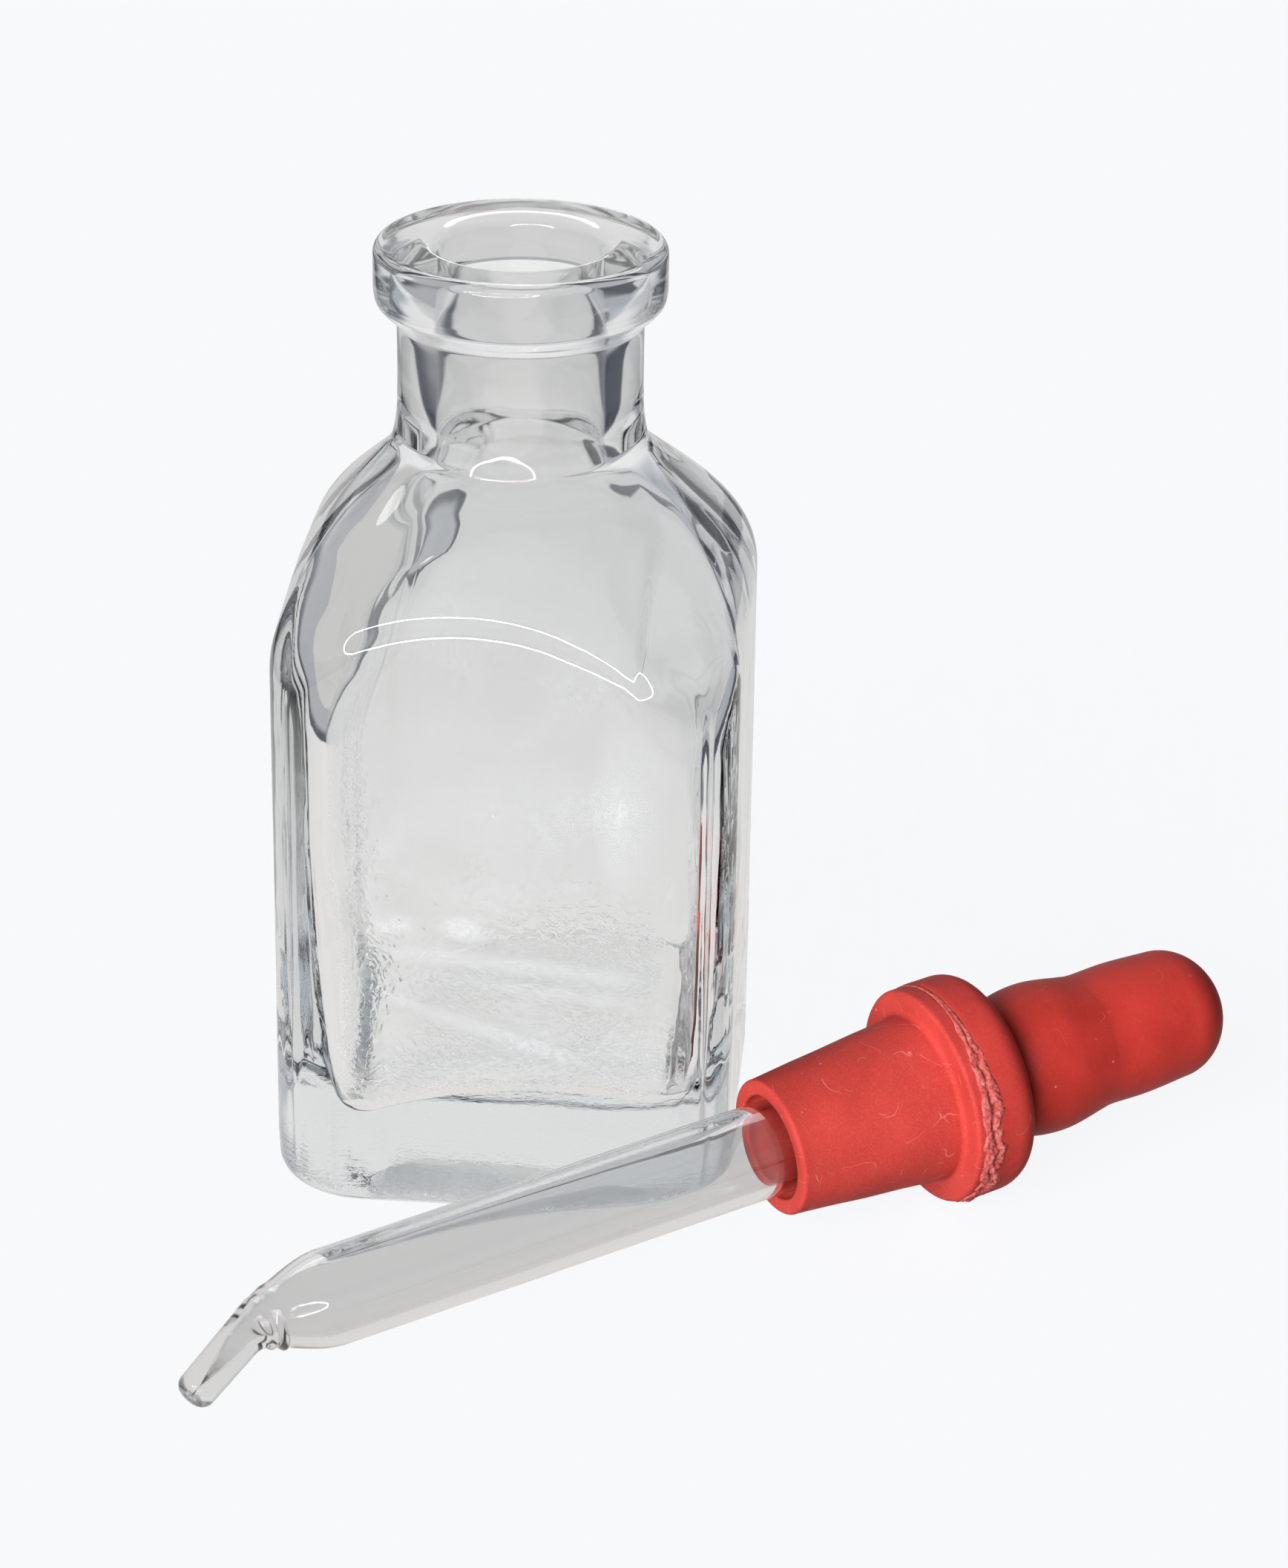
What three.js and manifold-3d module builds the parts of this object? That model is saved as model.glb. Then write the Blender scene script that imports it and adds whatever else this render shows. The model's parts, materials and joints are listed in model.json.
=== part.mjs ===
import * as THREE from 'three';
import { mergeVertices } from 'three/addons/utils/BufferGeometryUtils.js';
import Module from 'manifold-3d';

// Square glass dropper bottle, with its rubber-topped glass dropper lying in front of it.
// Millimetres, +Z up. The origin is the centre of the bottle's base and the bottle's sides face X and Y.

// Bottle, outside
const BODY_HALF_WIDTH = 21;
const BODY_CORNER_RADIUS = 8.6;
const BASE_EDGE_RADIUS = 2.2;
const SHOULDER_BOTTOM = 51.6;
const SHOULDER_TOP = 68.3;
const NECK_RADIUS = 11;
const LIP_RADIUS = 13.05;
const LIP_BOTTOM = 80.9;
const LIP_FILLET = 1.7;
const LIP_ROUNDING = 1;
const BOTTLE_HEIGHT = 86.5;

// Bottle, inside
const WALL = 4.2;
const CAVITY_CORNER_RADIUS = 7.4;
const CAVITY_FLOOR = 9.2;
const CAVITY_FLOOR_CENTRE = 12;
const CAVITY_FLOOR_ROUNDING = 3.5;
const CAVITY_SHOULDER_BOTTOM = 50;
const CAVITY_SHOULDER_TOP = 67.5;
const MOUTH_RADIUS = 7.5;
const MOUTH_FLARE = 0.8;

// How the shoulder draws in from the square body to the round neck
const SHOULDER_FULLNESS = 2.08;
const SHOULDER_SWEEP = 1.3245;

// Dropper as it lies: the small end of its plug, and the way it points from nozzle to bulb
const PLUG_END_X = 25.1;
const PLUG_END_Y = -21.9;
const HEADING = THREE.MathUtils.degToRad(33);
const TILT = THREE.MathUtils.degToRad(4.6);
const REST_CLEARANCE = 0.01;

// Rubber, measured along the dropper from the small end of the plug
const PLUG_LENGTH = 16;
const PLUG_SMALL_RADIUS = 6.4;
const PLUG_LARGE_RADIUS = 7.8;
const FLANGE_RADIUS = 10.3;
const FLANGE_LENGTH = 6.9;
const SEAM_HEIGHT = 1.8;
const SEAM_GAP = 0.05;
const FLANGE_SHOULDER = 2;
const EDGE = 0.5;
const BULB_NECK_RADIUS = 5.6;
const BULB_BULGE_RADIUS = 7.1;
const BULB_BULGE_AT = 6.5;
const BULB_WAIST_RADIUS = 6.5;
const BULB_WAIST_AT = 11.2;
const BULB_END_RADIUS = 6.15;
const BULB_LENGTH = 25.3;
const BULB_WALL = 1.5;
const BULB_CAP_LENGTH = 5.4;

// Glass tube
const TUBE_RADIUS = 4.32;
const TUBE_WALL = 1;
const TUBE_TOP = 24.2;
const BEND_START = -48.9;
const BEND_RADIUS = 7.7;
const BEND_ANGLE = THREE.MathUtils.degToRad(29.5);
const BEND_AZIMUTH = THREE.MathUtils.degToRad(-46);
const SHOULDER_START = -43.7;
const SHOULDER_LENGTH = 9.9;
const NOZZLE_LENGTH = 6.85;
const NOZZLE_RADIUS = 1.85;
const NOZZLE_TIP_RADIUS = 1.75;
const NOZZLE_BORE_RADIUS = 0.6;
const TUBE_CLEARANCE = 0.13;

// Finger-sized faces of the bulb's wall that press inward
const GRIP_AT = 15;
const GRIP_HALF_LENGTH = 5.4;
const GRIP_HALF_WIDTH = 3.5;
const GRIP_GAP = 0.3;

const TURNED_SEGMENTS = 40;
const TUBE_SEGMENTS = 32;
const CORNER_SEGMENTS = 6;
const FLAT_SEGMENTS = 6;

const glass = (name, colour) => new THREE.MeshStandardMaterial({
  name, color: colour, roughness: 0.05, metalness: 0, transparent: true, opacity: 0.35,
});
const rubber = (name, colour) => new THREE.MeshStandardMaterial({
  name, color: colour, roughness: 0.6, metalness: 0,
});

// Closed geometry with shared corners and no collapsed triangles
function closedGeometry(geometry) {
  geometry.deleteAttribute('normal');
  geometry.deleteAttribute('uv');
  const merged = mergeVertices(geometry, 1e-4);
  const kept = [];
  const index = merged.index.array;
  for (let i = 0; i < index.length; i += 3) {
    const [a, b, c] = [index[i], index[i + 1], index[i + 2]];
    if (a !== b && b !== c && c !== a) kept.push(a, b, c);
  }
  merged.setIndex(kept);
  merged.computeVertexNormals();
  return merged;
}

// Skin over a row of sections with equal numbers of points. The sections either wrap round
// to the first again, or the first and last are each closed to their own middle point.
function loft(sections, wraps) {
  const count = sections[0].length;
  const points = sections.flat();
  const index = [];
  const pairs = wraps ? sections.length : sections.length - 1;
  for (let s = 0; s < pairs; s += 1) {
    const lower = s * count;
    const upper = ((s + 1) % sections.length) * count;
    for (let i = 0; i < count; i += 1) {
      const j = (i + 1) % count;
      index.push(lower + i, lower + j, upper + j, lower + i, upper + j, upper + i);
    }
  }
  if (!wraps) {
    const middle = (section) => section
      .reduce((sum, p) => sum.add(p), new THREE.Vector3())
      .divideScalar(count);
    const last = (sections.length - 1) * count;
    points.push(middle(sections[0]), middle(sections[sections.length - 1]));
    for (let i = 0; i < count; i += 1) {
      const j = (i + 1) % count;
      index.push(points.length - 2, j, i);
      index.push(points.length - 1, last + i, last + j);
    }
  }
  const geometry = new THREE.BufferGeometry().setFromPoints(points);
  geometry.setIndex(index);
  return closedGeometry(geometry);
}

// Turned piece about Z from an outline of [radius, height] pairs
function turned(outline) {
  const points = outline.map(([radius, height]) => new THREE.Vector2(radius, height));
  const lathe = new THREE.LatheGeometry(points, TURNED_SEGMENTS);
  lathe.rotateX(Math.PI / 2);
  return closedGeometry(lathe);
}

// Points of a quarter arc from one angle to another, both in degrees
function arc(x, y, radius, from, to, steps) {
  const points = [];
  for (let i = 0; i <= steps; i += 1) {
    const angle = THREE.MathUtils.degToRad(from + ((to - from) * i) / steps);
    points.push([x + radius * Math.cos(angle), y + radius * Math.sin(angle)]);
  }
  return points;
}

// Distance from the middle of a rounded square to its outline, along a direction
function squareReach(angle, halfWidth, cornerRadius) {
  const quarter = Math.PI / 2;
  const turn = ((angle % quarter) + quarter) % quarter;
  const folded = Math.min(turn, quarter - turn);
  const straight = halfWidth - cornerRadius;
  if (Math.tan(folded) <= straight / halfWidth) return halfWidth / Math.cos(folded);
  const along = straight * (Math.cos(folded) + Math.sin(folded));
  return along + Math.sqrt(along ** 2 - 2 * straight ** 2 + cornerRadius ** 2);
}

// Directions that put section points along the flats and close together round the corners
function sectionAngles() {
  const flatEnd = Math.atan2(BODY_HALF_WIDTH - BODY_CORNER_RADIUS, BODY_HALF_WIDTH);
  const angles = [];
  for (let quadrant = 0; quadrant < 4; quadrant += 1) {
    const start = (quadrant * Math.PI) / 2;
    for (let i = 0; i < FLAT_SEGMENTS; i += 1) {
      angles.push(start - flatEnd + (2 * flatEnd * i) / FLAT_SEGMENTS);
    }
    for (let i = 0; i < CORNER_SEGMENTS; i += 1) {
      angles.push(start + flatEnd + ((Math.PI / 2 - 2 * flatEnd) * i) / CORNER_SEGMENTS);
    }
  }
  return angles;
}

// Level section of the bottle: the square drawn in by inset, then mixed towards a circle
function bottleSection(z, { halfWidth, corner, inset = 0, circle = 0, squareness = 1 }) {
  return sectionAngles().map((angle) => {
    const square = squareReach(angle, halfWidth - inset, Math.max(corner - inset, 0.5));
    const reach = circle + (square - circle) * squareness;
    return new THREE.Vector3(reach * Math.cos(angle), reach * Math.sin(angle), z);
  });
}

const roundSection = (z, radius) => bottleSection(z, {
  halfWidth: 1, corner: 0.5, circle: radius, squareness: 0,
});

// How much of the square is left at a fraction of the way up the shoulder
const shoulderSquareness = (t) => (1 - t ** SHOULDER_FULLNESS) ** SHOULDER_SWEEP;

function bottleOutside() {
  const body = { halfWidth: BODY_HALF_WIDTH, corner: BODY_CORNER_RADIUS };
  const sections = arc(BASE_EDGE_RADIUS, BASE_EDGE_RADIUS, BASE_EDGE_RADIUS, 270, 180, 4)
    .map(([inset, z]) => bottleSection(z, { ...body, inset }));
  const steps = 9;
  for (let i = 0; i < steps; i += 1) {
    const t = i / steps;
    const z = SHOULDER_BOTTOM + (SHOULDER_TOP - SHOULDER_BOTTOM) * t;
    const squareness = shoulderSquareness(t);
    sections.push(bottleSection(z, { ...body, circle: NECK_RADIUS, squareness }));
  }
  const lip = [
    [NECK_RADIUS, SHOULDER_TOP],
    [NECK_RADIUS, LIP_BOTTOM - LIP_FILLET],
    [NECK_RADIUS + 0.25 * (LIP_RADIUS - NECK_RADIUS), LIP_BOTTOM - 0.85 * LIP_FILLET],
    ...arc(LIP_RADIUS - LIP_FILLET, LIP_BOTTOM + LIP_FILLET - 0.6, LIP_FILLET, -60, 0, 3),
    ...arc(LIP_RADIUS - LIP_ROUNDING, BOTTLE_HEIGHT - LIP_ROUNDING, LIP_ROUNDING, 0, 90, 3),
  ];
  return [...sections, ...lip.map(([radius, z]) => roundSection(z, radius))];
}

function bottleInside() {
  const cavity = { halfWidth: BODY_HALF_WIDTH - WALL, corner: CAVITY_CORNER_RADIUS };
  const sections = [
    roundSection(BOTTLE_HEIGHT, MOUTH_RADIUS + MOUTH_FLARE),
    roundSection(BOTTLE_HEIGHT - MOUTH_FLARE, MOUTH_RADIUS),
  ];
  const steps = 8;
  for (let i = steps; i >= 0; i -= 1) {
    const t = i / steps;
    const z = CAVITY_SHOULDER_BOTTOM + (CAVITY_SHOULDER_TOP - CAVITY_SHOULDER_BOTTOM) * t;
    const squareness = shoulderSquareness(t);
    sections.push(bottleSection(z, { ...cavity, circle: MOUTH_RADIUS, squareness }));
  }
  const rounding = CAVITY_FLOOR_ROUNDING;
  arc(rounding, CAVITY_FLOOR + rounding, rounding, 180, 270, 4)
    .forEach(([inset, z]) => sections.push(bottleSection(z, { ...cavity, inset })));
  sections.push(bottleSection(CAVITY_FLOOR_CENTRE, { ...cavity, inset: 12 }));
  return sections;
}

const bottleGeometry = () => loft([...bottleOutside(), ...bottleInside()], false);

// Middle line of the tube: straight down from the top, round the bend, and on into the nozzle.
// Distance runs along the line from the top end. Sideways is the way the nozzle leans.
function tubeFrame(distance) {
  const bendDistance = TUBE_TOP - BEND_START;
  const bendLength = BEND_RADIUS * BEND_ANGLE;
  const angle = THREE.MathUtils.clamp((distance - bendDistance) / BEND_RADIUS, 0, BEND_ANGLE);
  const before = Math.min(distance, bendDistance);
  const after = Math.max(distance - bendDistance - bendLength, 0);
  const side = BEND_RADIUS * (1 - Math.cos(angle)) + after * Math.sin(BEND_ANGLE);
  const drop = before + BEND_RADIUS * Math.sin(angle) + after * Math.cos(BEND_ANGLE);
  const lean = new THREE.Vector3(Math.cos(BEND_AZIMUTH), Math.sin(BEND_AZIMUTH), 0);
  const across = new THREE.Vector3(Math.sin(BEND_AZIMUTH), -Math.cos(BEND_AZIMUTH), 0);
  const centre = lean.clone().multiplyScalar(side).setZ(TUBE_TOP - drop);
  const outward = lean.clone().multiplyScalar(Math.cos(angle)).setZ(Math.sin(angle));
  return { centre, outward, across };
}

function tubeSection([distance, radius]) {
  const { centre, outward, across } = tubeFrame(distance);
  const section = [];
  for (let i = 0; i < TUBE_SEGMENTS; i += 1) {
    const angle = (2 * Math.PI * i) / TUBE_SEGMENTS;
    section.push(centre.clone()
      .addScaledVector(outward, radius * Math.cos(angle))
      .addScaledVector(across, radius * Math.sin(angle)));
  }
  return section;
}

function pipetteGeometry() {
  const shoulder = TUBE_TOP - SHOULDER_START;
  const end = TUBE_TOP - BEND_START + BEND_RADIUS * BEND_ANGLE + NOZZLE_LENGTH;
  const steps = 8;
  const draw = (outer, inner) => {
    const points = [];
    for (let i = 0; i <= steps; i += 1) {
      const t = i / steps;
      const mix = THREE.MathUtils.smoothstep(t, 0, 1);
      points.push([shoulder + t * SHOULDER_LENGTH, outer + (inner - outer) * mix]);
    }
    return points;
  };
  const tip = NOZZLE_TIP_RADIUS - NOZZLE_BORE_RADIUS;
  const outside = [
    [0.3, TUBE_RADIUS],
    [(shoulder + 0.3) / 2, TUBE_RADIUS],
    ...draw(TUBE_RADIUS, NOZZLE_RADIUS),
    ...arc(end - tip, NOZZLE_BORE_RADIUS, tip, 90, 10, 4),
  ];
  const inside = [
    [end - 0.3, NOZZLE_BORE_RADIUS],
    ...draw(TUBE_RADIUS - TUBE_WALL, NOZZLE_BORE_RADIUS).reverse(),
    [(shoulder + 0.3) / 2, TUBE_RADIUS - TUBE_WALL],
    [0.3, TUBE_RADIUS - TUBE_WALL],
    [0, TUBE_RADIUS - TUBE_WALL + 0.3],
    [0, TUBE_RADIUS - 0.3],
  ];
  return loft([...outside, ...inside].map(tubeSection), true);
}

const BORE_RADIUS = TUBE_RADIUS + TUBE_CLEARANCE;

function stopperGeometry() {
  const seam = PLUG_LENGTH + SEAM_HEIGHT;
  return turned([
    [BORE_RADIUS, EDGE],
    [BORE_RADIUS + EDGE, 0],
    [PLUG_SMALL_RADIUS - EDGE, 0],
    [PLUG_SMALL_RADIUS, EDGE],
    [PLUG_LARGE_RADIUS, PLUG_LENGTH],
    [FLANGE_RADIUS - EDGE, PLUG_LENGTH],
    [FLANGE_RADIUS, PLUG_LENGTH + EDGE],
    [FLANGE_RADIUS, seam],
    [BORE_RADIUS, seam],
    [BORE_RADIUS, EDGE],
  ]);
}

// Bulb outline from behind the flange to where the round end begins, drawn in by a wall
function bulbSide(base, inset) {
  const curve = new THREE.CatmullRomCurve3([
    new THREE.Vector3(BULB_NECK_RADIUS - inset, base, 0),
    new THREE.Vector3(BULB_BULGE_RADIUS - 0.25 - inset, base + 3.2, 0),
    new THREE.Vector3(BULB_BULGE_RADIUS - inset, base + BULB_BULGE_AT, 0),
    new THREE.Vector3(BULB_WAIST_RADIUS - inset, base + BULB_WAIST_AT, 0),
    new THREE.Vector3(BULB_END_RADIUS - inset, base + BULB_LENGTH - BULB_CAP_LENGTH, 0),
  ]);
  return curve.getPoints(8).map((point) => [point.x, point.y]);
}

function bulbGeometry() {
  const front = PLUG_LENGTH + SEAM_HEIGHT + SEAM_GAP;
  const base = PLUG_LENGTH + FLANGE_LENGTH;
  const capStart = base + BULB_LENGTH - BULB_CAP_LENGTH;
  const cap = (radius, length) => arc(0, 0, 1, 0, 90, 5)
    .map(([x, y]) => [radius * x, capStart + length * y])
    .slice(1, -1)
    .concat([[0, capStart + length]]);
  const shoulderCentre = FLANGE_RADIUS - FLANGE_SHOULDER;
  const outer = [
    [BORE_RADIUS, front],
    [FLANGE_RADIUS, front],
    ...arc(shoulderCentre, base - FLANGE_SHOULDER, FLANGE_SHOULDER, 0, 90, 4),
    ...bulbSide(base, 0),
    ...cap(BULB_END_RADIUS, BULB_CAP_LENGTH),
  ];
  const hollowStart = base + 2;
  const inner = bulbSide(base, BULB_WALL).filter(([, height]) => height > hollowStart);
  const innerCap = cap(BULB_END_RADIUS - BULB_WALL, BULB_CAP_LENGTH - BULB_WALL);
  return turned([
    ...[...inner, ...innerCap].reverse(),
    [BORE_RADIUS, hollowStart - 0.5],
    ...outer,
  ]);
}

// Oval bar along X, reaching from one side of the dropper's axis out through the bulb's wall
function gripBar(side, gap) {
  const oval = new THREE.Shape();
  oval.absellipse(0, 0, GRIP_HALF_WIDTH - gap, GRIP_HALF_LENGTH - gap, 0, 2 * Math.PI);
  const bar = new THREE.ExtrudeGeometry(oval, { depth: 10, bevelEnabled: false, curveSegments: 14 });
  bar.translate(0, 0, 1);
  bar.rotateX(Math.PI / 2);
  bar.rotateZ((side * Math.PI) / 2);
  bar.translate(0, 0, PLUG_LENGTH + FLANGE_LENGTH + GRIP_AT);
  return closedGeometry(bar);
}

const wasm = await Module();
wasm.setup();

function toManifold(geometry) {
  return new wasm.Manifold(new wasm.Mesh({
    numProp: 3,
    vertProperties: Float32Array.from(geometry.attributes.position.array),
    triVerts: Uint32Array.from(geometry.index.array),
  }));
}

function fromManifold(manifold) {
  const mesh = manifold.getMesh();
  const geometry = new THREE.BufferGeometry();
  geometry.setAttribute('position', new THREE.BufferAttribute(mesh.vertProperties, 3));
  geometry.setIndex(new THREE.BufferAttribute(mesh.triVerts, 1));
  geometry.computeVertexNormals();
  return geometry;
}

function bulbWithWindows() {
  const windows = [1, -1].map((side) => toManifold(gripBar(side, 0)));
  return fromManifold(toManifold(bulbGeometry()).subtract(windows[0]).subtract(windows[1]));
}

const gripFace = (side) => fromManifold(
  toManifold(bulbGeometry()).intersect(toManifold(gripBar(side, GRIP_GAP))),
);

function named(name, geometry, material) {
  const mesh = new THREE.Mesh(geometry, material);
  mesh.name = name;
  return mesh;
}

function dropper() {
  const group = new THREE.Group();
  const restHeight = FLANGE_RADIUS * Math.cos(TILT) - (PLUG_LENGTH + EDGE) * Math.sin(TILT);
  group.position.set(PLUG_END_X, PLUG_END_Y, restHeight + REST_CLEARANCE);
  group.rotation.set(0, Math.PI / 2 - TILT, HEADING, 'ZYX');
  group.add(
    named('glass_pipette', pipetteGeometry(), glass('pipette_glass', 0xdfe7ea)),
    named('rubber_stopper', stopperGeometry(), rubber('stopper_rubber', 0xc9483c)),
    named('rubber_bulb', bulbWithWindows(), rubber('bulb_rubber', 0xb9332e)),
    named('bulb_grip_upper', gripFace(-1), rubber('grip_upper_rubber', 0xb9332e)),
    named('bulb_grip_lower', gripFace(1), rubber('grip_lower_rubber', 0xb9332e)),
  );
  return group;
}

const dropperBottle = new THREE.Group();
dropperBottle.name = 'dropper_bottle';
dropperBottle.add(
  named('bottle', bottleGeometry(), glass('bottle_glass', 0xe3eaec)),
  dropper(),
);

export default dropperBottle;
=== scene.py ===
"""Square glass dropper bottle with its rubber-topped glass dropper lying in front of it."""

import json
import math

import bpy
import numpy as np
from mathutils import Matrix, Vector, noise


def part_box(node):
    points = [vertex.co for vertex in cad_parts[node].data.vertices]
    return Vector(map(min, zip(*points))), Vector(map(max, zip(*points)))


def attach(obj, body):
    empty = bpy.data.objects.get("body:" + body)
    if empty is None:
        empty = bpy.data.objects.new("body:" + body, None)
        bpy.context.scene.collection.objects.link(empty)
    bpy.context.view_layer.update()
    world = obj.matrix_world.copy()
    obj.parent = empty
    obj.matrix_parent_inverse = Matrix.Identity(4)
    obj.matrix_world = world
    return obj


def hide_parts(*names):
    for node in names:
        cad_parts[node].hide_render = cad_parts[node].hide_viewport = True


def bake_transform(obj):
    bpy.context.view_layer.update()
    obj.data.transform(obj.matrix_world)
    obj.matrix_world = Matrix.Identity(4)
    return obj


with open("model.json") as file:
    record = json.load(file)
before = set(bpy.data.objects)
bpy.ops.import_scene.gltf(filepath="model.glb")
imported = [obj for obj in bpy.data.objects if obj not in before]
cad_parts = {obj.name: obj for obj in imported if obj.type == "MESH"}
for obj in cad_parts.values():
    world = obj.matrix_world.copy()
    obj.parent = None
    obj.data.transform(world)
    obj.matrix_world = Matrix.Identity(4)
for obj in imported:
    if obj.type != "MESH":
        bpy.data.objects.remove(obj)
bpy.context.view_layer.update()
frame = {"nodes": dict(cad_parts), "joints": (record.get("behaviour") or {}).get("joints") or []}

MM = 0.001


# ---------------------------------------------------------------- frame

def joint_axis(name):
    """Direction of a joint, as a unit vector in the row frame."""
    joint = next(j for j in frame["joints"] if j["name"] == name)
    return Vector(joint["axis"]).normalized()


def node_points(name):
    """Corners of a CAD node at rest, in millimetres."""
    return np.array([v.co for v in frame["nodes"][name].data.vertices], float) / MM


ALONG = joint_axis("bulb_pull_off")
DOWN = joint_axis("squeeze_upper")
DOWN = (DOWN - DOWN.dot(ALONG) * ALONG).normalized()
AWAY = ALONG.cross(DOWN)


def span(points, direction):
    """Lowest and highest reach of points along a direction."""
    reach = points @ np.array(direction)
    return reach.min(), reach.max()


stopper_points = node_points("rubber_stopper")
plug_end, seam_at = span(stopper_points, ALONG)
down_low, down_high = span(stopper_points, DOWN)
away_low, away_high = span(stopper_points, AWAY)
FLANGE_RADIUS = (away_high - away_low) / 2
PLUG_ORIGIN = (
    ALONG * plug_end + DOWN * (down_low + down_high) / 2 + AWAY * (away_low + away_high) / 2
)
SEAM = seam_at - plug_end
BULB_END = span(node_points("rubber_bulb"), ALONG)[1] - plug_end
TUBE_TOP = span(node_points("glass_pipette"), ALONG)[1] - plug_end

# Local frame of the dropper: origin at the plug's small end, Z towards the bulb, X downward
DROPPER = Matrix.Translation(PLUG_ORIGIN * MM) @ Matrix(
    [[DOWN[i], AWAY[i], ALONG[i], 0] for i in range(3)] + [[0, 0, 0, 1]]
)

bottle_low, bottle_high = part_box("bottle")
BODY_HALF_WIDTH = (bottle_high.x - bottle_low.x) / 2 / MM
BOTTLE_HEIGHT = bottle_high.z / MM


# ---------------------------------------------------------------- mesh helpers

def smoothstep(t):
    t = min(max(t, 0.0), 1.0)
    return t * t * (3 - 2 * t)


def lerp(a, b, t):
    return a + (b - a) * t


def quarter(x, y, radius, start, end, steps):
    """Points of an arc from one angle to another, in degrees."""
    angles = [math.radians(lerp(start, end, i / steps)) for i in range(steps + 1)]
    return [(x + radius * math.cos(a), y + radius * math.sin(a)) for a in angles]


def curve_through(points, steps):
    """Smooth curve through (x, y) points, as Catmull-Rom spans."""
    ends = [points[0], *points, points[-1]]
    result = []
    for k in range(1, len(ends) - 2):
        a, b, c, d = (np.array(ends[k + i], float) for i in (-1, 0, 1, 2))
        for i in range(steps):
            t = i / steps
            result.append(tuple(0.5 * (
                2 * b + (c - a) * t + (2 * a - 5 * b + 4 * c - d) * t ** 2
                + (3 * b - a - 3 * c + d) * t ** 3
            )))
    result.append(tuple(points[-1]))
    return result


def grid_object(name, rows, material, wrap_columns=True, wrap_rows=False, poles=False):
    """Smooth mesh over rows of points in millimetres. Poles close the first and last rows."""
    rows = np.asarray(rows, float)
    count_rows, count, _ = rows.shape
    points = rows.reshape(-1, 3)
    faces = []
    for r in range(count_rows if wrap_rows else count_rows - 1):
        lower, upper = r * count, ((r + 1) % count_rows) * count
        for c in range(count if wrap_columns else count - 1):
            d = (c + 1) % count
            faces.append((lower + c, lower + d, upper + d, upper + c))
    if poles:
        last = (count_rows - 1) * count
        points = np.vstack([points, rows[0].mean(0), rows[-1].mean(0)])
        for c in range(count):
            d = (c + 1) % count
            faces.append((len(points) - 2, d, c))
            faces.append((len(points) - 1, last + c, last + d))
    mesh = bpy.data.meshes.new(name)
    mesh.from_pydata((points * MM).tolist(), [], faces)
    mesh.update()
    mesh.shade_smooth()
    mesh.materials.append(material)
    piece = bpy.data.objects.new(name, mesh)
    bpy.context.scene.collection.objects.link(piece)
    return piece


def stage_object(name, points, faces, material):
    """Flat mesh that belongs to the studio, with points in metres."""
    mesh = bpy.data.meshes.new(name)
    mesh.from_pydata(points, [], faces)
    mesh.materials.append(material)
    item = bpy.data.objects.new(name, mesh)
    bpy.context.scene.collection.objects.link(item)
    return item


def ring(radius, height, count):
    """Level circle of points."""
    a = np.linspace(0, 2 * math.pi, count, endpoint=False)
    return np.stack([radius * np.cos(a), radius * np.sin(a), np.full(count, height)], 1)


def turned_rows(outline, count):
    return np.array([ring(radius, height, count) for radius, height in outline])


def ripple(point, size, seed):
    """Smooth noise between about -1 and 1, with features of a size in millimetres."""
    return noise.noise(Vector(point) / size + Vector((seed, seed * 1.7, seed * 0.3)))


# ---------------------------------------------------------------- node helpers

class Nodes:
    """Short way to add and join shader nodes."""

    def __init__(self, tree):
        self.tree = tree
        tree.nodes.clear()

    def add(self, kind, settings=None, **inputs):
        node = self.tree.nodes.new(kind)
        for key, value in (settings or {}).items():
            setattr(node, key, value)
        for key, value in inputs.items():
            self.set(node, key.replace("_", " "), value)
        return node

    def set(self, node, key, value):
        socket = node.inputs[int(key[1:])] if key[0] == "#" else node.inputs[key]
        if isinstance(value, bpy.types.NodeSocket):
            self.tree.links.new(value, socket)
        else:
            socket.default_value = value

    def math(self, operation, a, b=0.0, clamp=False):
        node = self.add("ShaderNodeMath", {"operation": operation, "use_clamp": clamp})
        self.set(node, "#0", a)
        self.set(node, "#1", b)
        return node.outputs[0]

    def ramp(self, fac, *stops):
        """Grey ramp through (position, value) stops."""
        node = self.add("ShaderNodeValToRGB", Fac=fac)
        elements = node.color_ramp.elements
        while len(elements) < len(stops):
            elements.new(0.5)
        for element, (position, value) in zip(elements, stops):
            element.position = position
            element.color = (value, value, value, 1) if isinstance(value, float) else (*value, 1)
        return node.outputs["Color"]

    def noise(self, vector, scale, detail=2.0, roughness=0.5, distortion=0.0):
        node = self.add(
            "ShaderNodeTexNoise", Vector=vector, Scale=scale, Detail=detail,
            Roughness=roughness, Distortion=distortion,
        )
        return node.outputs["Fac"]

    def mix(self, fac, a, b, blend="MIX"):
        node = self.add("ShaderNodeMix", {"data_type": "RGBA", "blend_type": blend})
        self.set(node, "#0", fac)
        self.set(node, "#6", a)
        self.set(node, "#7", b)
        return node.outputs[2]

    def bump(self, height, strength, distance, normal=None):
        node = self.add("ShaderNodeBump", Height=height, Strength=strength, Distance=distance)
        if normal is not None:
            self.set(node, "Normal", normal)
        return node.outputs["Normal"]


def new_material(name):
    material = bpy.data.materials.new(name)
    material.use_nodes = True
    return material, Nodes(material.node_tree)


def millimetres(n, stretch=(1, 1, 1)):
    """The piece's own coordinates in millimetres."""
    coordinates = n.add("ShaderNodeTexCoord").outputs["Object"]
    scale = tuple(s / MM for s in stretch)
    mapping = n.add("ShaderNodeMapping", Vector=coordinates, Scale=scale)
    return mapping.outputs["Vector"]


def rgb(*value):
    return (*value, 1.0)


# ---------------------------------------------------------------- materials

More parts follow.
